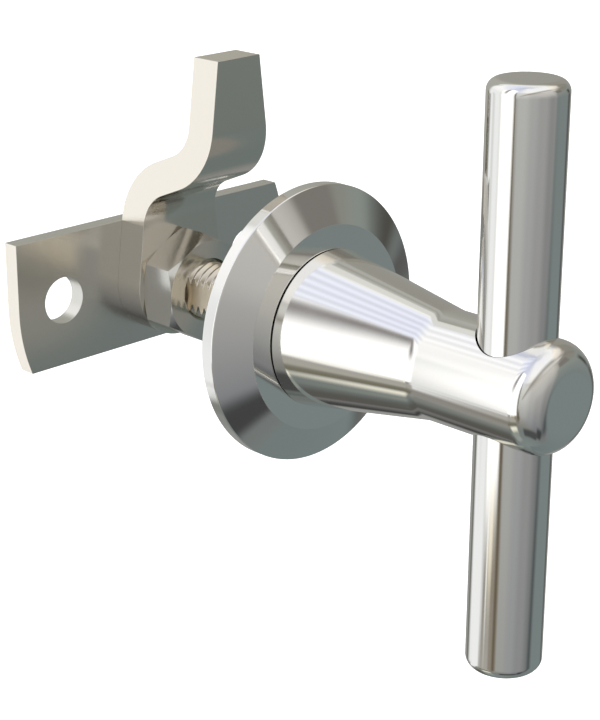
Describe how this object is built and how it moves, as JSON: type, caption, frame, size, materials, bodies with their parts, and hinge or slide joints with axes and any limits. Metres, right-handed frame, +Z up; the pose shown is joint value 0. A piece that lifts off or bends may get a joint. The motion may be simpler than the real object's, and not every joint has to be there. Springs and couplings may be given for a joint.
{
  "type": "cam latch",
  "caption": "Quarter-turn cam latch: T-handle on a turned stem, round conical rose, cranked cam finger and a rod plate on a threaded spindle.",
  "frame": {"origin": "centre of the rose's back face, on the shaft's axis", "axes": "+Y through the panel towards the cam, -Y towards the hand, +Z up along the cross bar and the cam's finger"},
  "size_m": [0.0616, 0.0989, 0.0926],
  "materials": {
    "polished_steel": "mirror polished stainless steel",
    "satin_steel": "satin stainless steel",
    "threaded_steel": "machined stainless steel",
    "spring_steel": "dark spring steel",
    "black_plastic": "black nylon",
    "black_rubber": "black rubber"
  },
  "bodies": {
    "rose_body": {"rose": "polished_steel", "bearing_bush": "black_plastic", "thrust_washer": "satin_steel"},
    "handle_body": {"handle_stem": "polished_steel", "cross_bar": "polished_steel", "spindle": "threaded_steel", "shaft_seal": "black_rubber", "retaining_ring": "spring_steel", "front_nut": "threaded_steel", "cam": "satin_steel", "rod_plate": "satin_steel", "end_washer": "satin_steel", "spring_washer": "spring_steel", "end_screw": "threaded_steel"}
  },
  "joints": [
    {"name": "handle_turn", "type": "hinge", "parent": "rose_body", "child": "handle_body", "pos_m": [0, 0, 0], "axis": [0, 1, 0], "continuous": true}
  ]
}
